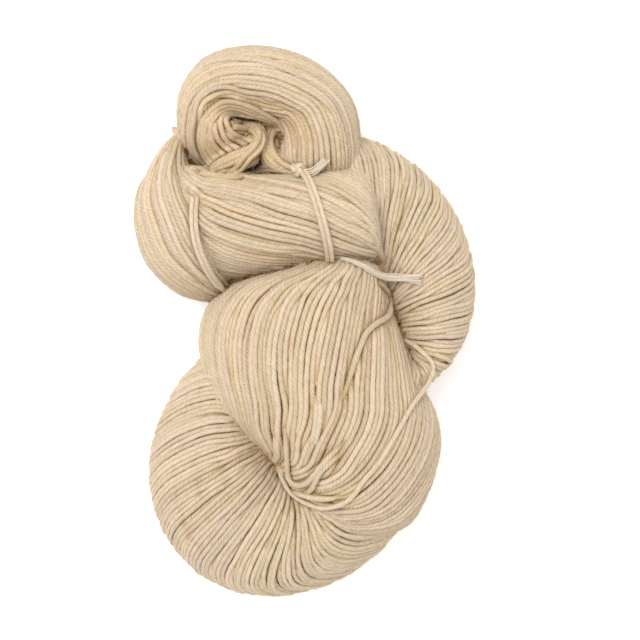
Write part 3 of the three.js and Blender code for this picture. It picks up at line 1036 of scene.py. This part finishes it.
def plied_yarn_tree():
    """Geometry nodes that lay plied yarn along the edges of a mesh."""
    tree, given = new_tree("plied yarn", "GeometryNodeTree", {
        "Geometry": "Geometry", "Outside": "Object", "Thickness": "Float", "Plies": "Int",
        "Ply Depth": "Float", "Twist Length": "Float", "Ring Step": "Float", "Unevenness": "Float",
        "Wool": "Material",
    }, {"Geometry": "Geometry"})
    lumps = result_of(tree, "ShaderNodeTexNoise", {"Scale": LUMP_SCALE, "Detail": 1.0})
    lump = calculate(tree, "MULTIPLY", calculate(tree, "SUBTRACT", lumps, 0.5), given["Unevenness"])
    yarn = result_of(tree, "GeometryNodeCurveToMesh", {
        "Curve": twisted_lines(tree, given), "Profile Curve": plied_section(tree, given),
        "Scale": calculate(tree, "ADD", 1.0, lump), "Fill Caps": True,
    })
    # The depth is used for the painted shade of the wool.
    yarn = store(tree, yarn, "depth", depth_under(tree, given["Outside"]))
    return finish_tree(tree, given, yarn)


plied_yarn = plied_yarn_tree()
print("plied yarn", len(plied_yarn.nodes), "nodes")

# %% [markdown]
# ## From a tree to a piece
#
# A tree runs once, as a modifier whose inputs are set by name, and its result is kept as the piece's own
# mesh. So every piece is plain geometry in the end, at the origin and unturned. Each one rides on the
# part's one body, and the solid of the CAD that it is drawn instead of is hidden.


# %% Turning a tree's result into a plain mesh
def apply_tree(piece, tree, inputs):
    """Runs a node tree on a piece with named inputs, and keeps the result as the piece's own mesh."""
    modifier = piece.modifiers.new(tree.name, "NODES")
    modifier.node_group = tree
    for socket in tree.interface.items_tree:
        if socket.in_out == "INPUT" and socket.name in inputs:
            modifier[socket.identifier] = inputs[socket.name]
    depsgraph = bpy.context.evaluated_depsgraph_get()
    mesh = bpy.data.meshes.new_from_object(
        piece.evaluated_get(depsgraph), preserve_all_data_layers=True, depsgraph=depsgraph,
    )
    piece.modifiers.clear()
    old = piece.data
    piece.data = mesh
    bpy.data.meshes.remove(old)
    mesh.name = piece.name
    return piece


def store_on_points(mesh, name, values):
    """Stores a number for each point of a mesh under a name."""
    stored = mesh.attributes.new(name, "FLOAT", "POINT").data
    stored.foreach_set("value", np.asarray(values, dtype=np.float32))


def triangles(piece):
    """How many triangles a piece has."""
    piece.data.calc_loop_triangles()
    return len(piece.data.loop_triangles)


def stand_for(piece, node):
    """Makes a piece ride on the part's one body, and hides the solid it dresses."""
    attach(piece, "root")
    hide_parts(node)


# %% A piece of yarn
PLIES = 4
PLY_DEPTH = 0.1
TWIST_LENGTH = 7.0 * MM
RING_STEP = 1.25 * MM
UNEVENNESS = 0.5


def yarn_piece(name, lines, wool, thickness=YARN, plies=PLIES):
    """Strands of yarn along lines of points in millimetres, as one mesh."""
    first = np.cumsum([0] + [len(line) for line in lines])
    edges = np.concatenate([
        np.stack([np.arange(len(line) - 1), np.arange(1, len(line))], axis=1) + at
        for line, at in zip(lines, first)
    ])
    mesh = bpy.data.meshes.new(name)
    mesh.from_pydata((np.concatenate(lines) * MM).tolist(), edges.tolist(), [])
    store_on_points(mesh, "tint", np.concatenate([np.full(len(line), rng.random()) for line in lines]))
    piece = bpy.data.objects.new(name, mesh)
    bpy.context.scene.collection.objects.link(piece)
    apply_tree(piece, plied_yarn, {
        "Outside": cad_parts["hank"], "Thickness": thickness * MM, "Plies": plies,
        "Ply Depth": PLY_DEPTH, "Twist Length": -TWIST_LENGTH, "Ring Step": RING_STEP,
        "Unevenness": UNEVENNESS, "Wool": wool,
    })
    print(name, triangles(piece), "triangles")
    return piece

# %% [markdown]
# ## The wound yarn
#
# Every bundle becomes one piece, and so do the ribbons of the hollow, the strays and the loose strand's
# roots. Together they are drawn instead of the hank's solid. Strands of their own would be thousands of
# pieces, and one piece would be too big to handle.

# %% The yarn of each bundle
strand_lines["hollow"] = every_line(ribbon_strands)
strand_lines["stray"] = strays
strand_lines["root"] = [smooth_route(route) for route in LOOSE_STRAND_ROOTS]
for bundle, lines in strand_lines.items():
    # Painted bounce light: the strands in the hollow of the bun get the warmer wool.
    wool = hollow_painted_bounce_wool if bundle == "hollow" else cream_wool
    piece = yarn_piece(bundle + "_yarn", lines, wool, thickness=YARN * FINER.get(bundle, 1))
    stand_for(piece, "hank")

# %% [markdown]
# ## What lies behind the outer strands
#
# Between the strands one looks into the hank, onto yarn that lies deeper. More strands down there would
# cost many faces for a few dark gaps, so a closed body just below the outer ones stands for them. It is
# the hank's own solid, remeshed evenly and drawn in until it lies `CORE_BELOW` the middle of the
# outermost strand that passes within `CORE_REACH`. Where there is none, the strands beside it decide, and
# the body lies deeper, as in a gap.


# %% Even copies of the hank
def even_copy(name, voxel):
    """A closed copy of the hank's solid with evenly spread faces."""
    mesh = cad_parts["hank"].data.copy()
    mesh.name = name
    work = bmesh.new()
    work.from_mesh(mesh)
    bmesh.ops.remove_doubles(work, verts=work.verts, dist=1e-6)
    work.to_mesh(mesh)
    work.free()
    mesh.materials.clear()
    piece = bpy.data.objects.new(name, mesh)
    bpy.context.scene.collection.objects.link(piece)
    remesh = piece.modifiers.new("remesh", "REMESH")
    remesh.mode = "VOXEL"
    remesh.voxel_size = voxel * MM
    depsgraph = bpy.context.evaluated_depsgraph_get()
    piece.data = bpy.data.meshes.new_from_object(piece.evaluated_get(depsgraph))
    piece.modifiers.clear()
    return piece


# %% The body of yarn below
CORE_VOXEL = 1.6
CORE_BELOW = 0.15
CORE_LEAST = 1.5
CORE_DEEPEST = 7.0
CORE_REACH = 1.2


def strand_tree(lines):
    """A tree of the points of many strands, to look up which ones are near."""
    points = np.concatenate(lines)
    tree = KDTree(len(points))
    for i, point in enumerate(points):
        tree.insert(point, i)
    tree.balance()
    return tree


def under_strands(place, normal, tree):
    """How far below a place on the skin its outermost strand lies."""
    above, beside = [], []
    for point, _, distance in tree.find_range(place, CORE_DEEPEST):
        inwards = (place - point).dot(normal)
        aside = distance**2 - inwards**2
        if aside < CORE_REACH**2:
            above.append(inwards)
        elif aside < (2 * CORE_REACH)**2:
            beside.append(inwards)
    if above:
        return max(min(above) + CORE_BELOW, CORE_LEAST)
    if beside:
        return max(min(beside) + 3 * CORE_BELOW, 2 * CORE_LEAST)
    return CORE_DEEPEST


def draw_in(piece, tree):
    """Moves a piece's surface inwards until it lies under the strands."""
    mesh = piece.data
    depth = np.array([under_strands(v.co / MM, v.normal, tree) for v in mesh.vertices])
    edges = np.array([e.vertices[:] for e in mesh.edges])
    for _ in range(2):
        total = np.zeros(len(depth))
        count = np.zeros(len(depth))
        np.add.at(total, edges.ravel(), depth[edges[:, ::-1]].ravel())
        np.add.at(count, edges.ravel(), 1)
        depth = np.maximum(depth, total / count)
    places = np.array([v.co for v in mesh.vertices])
    normals = np.array([v.normal for v in mesh.vertices])
    mesh.vertices.foreach_set("co", (places - normals * depth[:, None] * MM).ravel())
    mesh.update()
    return depth


core = even_copy("inner_yarn", CORE_VOXEL)
core_depth = draw_in(core, strand_tree(every_line(strand_lines)))
# Painted shade: the body below gets the darker wool, and its depth darkens it further.
store_on_points(core.data, "depth", core_depth * MM)
core.data.materials.append(deep_painted_shade_wool)
core.data.shade_smooth()
stand_for(core, "hank")
print("inner yarn", triangles(core), "triangles,", round(float(core_depth.mean()), 2), "mm deep on average")

# %% [markdown]
# ## Loose fibres
#
# Wool is never quite smooth: short ends of fibre stand off it all over, and they soften its outline. A node
# tree scatters points over an even copy of the hank's outside, puts a short line at each, leans it over at
# random and bends it more towards its tip. Each fibre is a thin three-sided tube with closed ends. Real
# fibres are finer than these, and far more of them stand off, so each one here stands for a small tuft.

# %% Points, lines and bends of loose fibres
FIBRE_SUNK = 0.4 * MM
LEAST_LEAN = math.radians(40)
MOST_LEAN = math.radians(80)
FIBRE_POINTS = 6
WAVE_SCALE = 260.0


def scattered_points(tree, given):
    """Points a little below a mesh, each with a tint, and which way the mesh faces there."""
    scatter = add_node(tree, "GeometryNodeDistributePointsOnFaces", {
        "Mesh": given["Geometry"], "Density": given["Density"], "Seed": 5,
    }).outputs
    sunk = calculate_vector(tree, "SCALE", scatter["Normal"], -FIBRE_SUNK)
    points = result_of(tree, "GeometryNodeSetPosition", {"Geometry": scatter["Points"], "Offset": sunk})
    tint = add_node(tree, "FunctionNodeRandomValue", {"Seed": 6}, data_type="FLOAT").outputs[1]
    return store(tree, points, "tint", tint), scatter["Rotation"]


def leaning_lines(tree, given, points, facing):
    """A straight line at each point, leant over at random."""
    lean = result_of(tree, "FunctionNodeRandomValue", {
        0: (LEAST_LEAN, 0, 0), 1: (MOST_LEAN, 0, 2 * math.pi), "Seed": 7,
    }, data_type="FLOAT_VECTOR")
    turned = result_of(tree, "FunctionNodeRotateRotation", {
        0: facing, 1: result_of(tree, "FunctionNodeEulerToRotation", {0: lean}),
    }, rotation_space="LOCAL")
    long = add_node(tree, "FunctionNodeRandomValue", {
        2: given["Shortest"], 3: given["Longest"], "Seed": 8,
    }, data_type="FLOAT").outputs[1]
    line = result_of(tree, "GeometryNodeCurvePrimitiveLine", {"Start": (0, 0, 0), "End": (0, 0, 1)})
    line = result_of(tree, "GeometryNodeResampleCurve", {
        "Curve": line, "Count": FIBRE_POINTS,
    }, mode="COUNT")
    lines = result_of(tree, "GeometryNodeInstanceOnPoints", {
        "Points": points, "Instance": line, "Rotation": turned, "Scale": long,
    })
    return result_of(tree, "GeometryNodeRealizeInstances", {"Geometry": lines})


def bent_lines(tree, given, lines, share):
    """Lines bent more and more towards their tips, but never into the table."""
    wave = add_node(tree, "ShaderNodeTexNoise", {"Scale": WAVE_SCALE, "Detail": 1.0}).outputs["Color"]
    wave = calculate_vector(tree, "SUBTRACT", wave, (0.5, 0.5, 0.5))
    wave = calculate_vector(tree, "SCALE", wave, calculate(tree, "MULTIPLY", share, given["Bend"]))
    lines = result_of(tree, "GeometryNodeSetPosition", {"Geometry": lines, "Offset": wave})
    place = result_of(tree, "GeometryNodeInputPosition")
    place = add_node(tree, "ShaderNodeSeparateXYZ", {0: place}).outputs
    above = result_of(tree, "ShaderNodeCombineXYZ", {
        0: place[0], 1: place[1], 2: calculate(tree, "MAXIMUM", place[2], given["Thickness"]),
    })
    return result_of(tree, "GeometryNodeSetPosition", {"Geometry": lines, "Position": above})


# %% The node tree for loose fibres
FIBRE_SIDES = 3
TIP_THINNER = 0.7


def loose_fibre_tree():
    """Geometry nodes that scatter short bent fibres over a mesh."""
    tree, given = new_tree("loose fibres", "GeometryNodeTree", {
        "Geometry": "Geometry", "Density": "Float", "Shortest": "Float", "Longest": "Float",
        "Thickness": "Float", "Bend": "Float", "Wool": "Material",
    }, {"Geometry": "Geometry"})
    points, facing = scattered_points(tree, given)
    share = add_node(tree, "GeometryNodeSplineParameter").outputs
    lines = store(tree, leaning_lines(tree, given, points, facing), "along", share["Length"])
    lines = bent_lines(tree, given, lines, share["Factor"])
    ring = result_of(tree, "GeometryNodeCurvePrimitiveCircle", {
        "Resolution": FIBRE_SIDES, "Radius": calculate(tree, "MULTIPLY", given["Thickness"], 0.5),
    })
    place = result_of(tree, "GeometryNodeInputPosition")
    ring = store(tree, ring, "section", place, "FLOAT_VECTOR")
    thinner = calculate(tree, "MULTIPLY", share["Factor"], TIP_THINNER)
    fibres = result_of(tree, "GeometryNodeCurveToMesh", {
        "Curve": lines, "Profile Curve": ring, "Scale": calculate(tree, "SUBTRACT", 1.0, thinner),
        "Fill Caps": True,
    })
    return finish_tree(tree, given, fibres)


# %% Loose fibres over the whole hank
FUZZ_VOXEL = 2.5
FIBRES_PER_SQUARE_METRE = 70000.0

loose_fibres = apply_tree(even_copy("loose_fibres", FUZZ_VOXEL), loose_fibre_tree(), {
    "Density": FIBRES_PER_SQUARE_METRE, "Shortest": 1.5 * MM, "Longest": 5 * MM,
    "Thickness": 0.11 * MM, "Bend": 7 * MM, "Wool": open_wool,
})
stand_for(loose_fibres, "hank")
print("loose fibres", triangles(loose_fibres), "triangles")

# %% [markdown]
# ## The ties and the loose strand
#
# The hank is held by lengths of its own yarn, each doubled, put round the band and pulled tight. So a tie
# is two strands side by side that go into the hank at both ends. The band tie has a knot in the crease
# below the bun. Its line is a trefoil, the shape of a simple overhand knot drawn tight. Where the yarn is
# cut its plies open, so a cut end is a sheaf of fine strands that spread towards the cut. The loose strand
# is a turn of the hank that has slipped out of its bundle.

# %% Knots and cut ends
KNOT_PLACE = (-2.9, 59.0, 52.0)
KNOT_SIZE = 0.72
FRAYED_STRANDS = 18
GOLDEN_TURN = 2.4
SHEAF_TWIST = 1.5
SHEAF_WANDER = 0.15


def knot_line(place, size):
    """A trefoil, the line of a simple overhand knot drawn tight."""
    turn = np.linspace(0, 2 * math.pi, 60, endpoint=False)
    loop = np.stack([
        np.sin(turn) + 2 * np.sin(2 * turn),
        np.cos(turn) - 2 * np.cos(2 * turn),
        -1.3 * np.sin(3 * turn),
    ], axis=1)
    return np.asarray(place) + size * loop


def frayed_lines(line, spread):
    """Fine strands side by side along a line, which spread towards its cut end."""
    along = unit(np.gradient(line, axis=0))
    side = unit(np.cross(along, (0, 0, 1)))
    up = np.cross(side, along)
    share = np.linspace(0, 1, len(line))
    half_width, half_depth = between(spread, share).T
    lines = []
    for i in range(FRAYED_STRANDS):
        angle = GOLDEN_TURN * i + SHEAF_TWIST * share
        out = math.sqrt(0.15 + 0.85 * (i + 0.5) / FRAYED_STRANDS)
        wander = SHEAF_WANDER * smooth_noise((1, len(line)), (0, 4))[0]
        across = half_width * np.cos(angle) + wander
        strand = line + out * (across[:, None] * side + (half_depth * np.sin(angle))[:, None] * up)
        shorter = int(rng.uniform(0, 2) + 2 * (1 - abs(math.cos(angle[-1]))))
        lines.append(strand[:len(strand) - shorter])
    return lines


# %% The ties, their knot and ends, and the loose strand
KNOT_THICKNESS = 2.5
FRAYED_THICKNESS = 0.75
FRAYED_PLIES = 2
SIDE_TIE_ROOT = [(-32.2, 12.6, 46.5), (-31.0, 11.5, 43.0)]
TAIL_SHIFT = (0, -1.5, 1.0)
TAIL_SPREAD = [(0.6, 0.6), (0.9, 0.8), (1.0, 0.8), (1.5, 0.7)]
END_SPREAD = [(0.5, 0.6), (0.6, 0.7), (0.9, 0.8), (1.1, 0.7), (1.4, 0.7), (2.6, 0.7)]

band_tie = yarn_piece("band_tie_yarn", band_tie_lines, tie_wool, TIE_THICKNESS)
knot = yarn_piece("knot_yarn", [knot_line(KNOT_PLACE, KNOT_SIZE)], tie_wool, KNOT_THICKNESS)
tail_lines = frayed_lines(band_tie_tail_line + TAIL_SHIFT, TAIL_SPREAD)
tie_tail = yarn_piece("tie_tail_yarn", tail_lines, open_wool, FRAYED_THICKNESS, FRAYED_PLIES)
rooted_lines = [np.vstack([line, SIDE_TIE_ROOT]) for line in side_tie_lines]
side_tie = yarn_piece("side_tie_yarn", rooted_lines, tie_wool, TIE_THICKNESS)
loose_strand = yarn_piece("loose_strand_yarn", [loose_strand_line], tie_wool, TIE_THICKNESS)
end_lines = frayed_lines(tie_end_line, END_SPREAD)
tie_end = yarn_piece("tie_end_yarn", end_lines, open_wool, FRAYED_THICKNESS, FRAYED_PLIES)

for piece in (band_tie, knot, tie_tail):
    stand_for(piece, "band_tie")
stand_for(side_tie, "side_tie")
stand_for(loose_strand, "loose_strand")
stand_for(tie_end, "tie_end")

# %% [markdown]
# ## Floor and light
#
# The hank lies on plain white and is lit softly from all round, a little more from the upper left. A
# white world gives most of the light. One broad lamp, high on that side, gives the shades between the
# strands and the faint shadow. The floor shines a little by itself, so that it stays near white right up
# to the wool. It belongs to the picture only.

# %% Floor
FLOOR_SIZE = 6
FLOOR_BELOW = 0.3 * MM

paper = bpy.data.materials.new("white paper")
paper.use_nodes = True
set_values(paper.node_tree.nodes["Principled BSDF"], {
    "Base Color": (0.93, 0.93, 0.93, 1), "Roughness": 0.8,
    "Emission Color": (1, 1, 1, 1), "Emission Strength": 0.3,
})
bpy.ops.mesh.primitive_plane_add(size=FLOOR_SIZE, location=(0, 0, -FLOOR_BELOW))
floor = bpy.context.object
floor.name = "floor"
floor.data.materials.append(paper)

# %% Light and colour
LAMP_PLACE = Vector((-0.3, 0.3, 1.2))
LAMP_AIMED_AT = Vector((0, 0, 0.03))
LAMP_WIDTH = 0.6
LAMP_POWER = 11

world = bpy.data.worlds.new("studio")
world.use_nodes = True
set_values(world.node_tree.nodes["Background"], {"Color": (1, 1, 1, 1), "Strength": 0.95})
bpy.context.scene.world = world

lamp_data = bpy.data.lights.new("key", "AREA")
lamp_data.shape = "DISK"
lamp_data.size = LAMP_WIDTH
lamp_data.energy = LAMP_POWER
lamp = bpy.data.objects.new("key", lamp_data)
lamp.location = LAMP_PLACE
lamp.rotation_euler = (LAMP_AIMED_AT - LAMP_PLACE).to_track_quat("-Z", "Y").to_euler()
bpy.context.scene.collection.objects.link(lamp)
bpy.context.scene.view_settings.view_transform = "Standard"
print("lamp", round((LAMP_AIMED_AT - LAMP_PLACE).length, 2), "m from the hank")
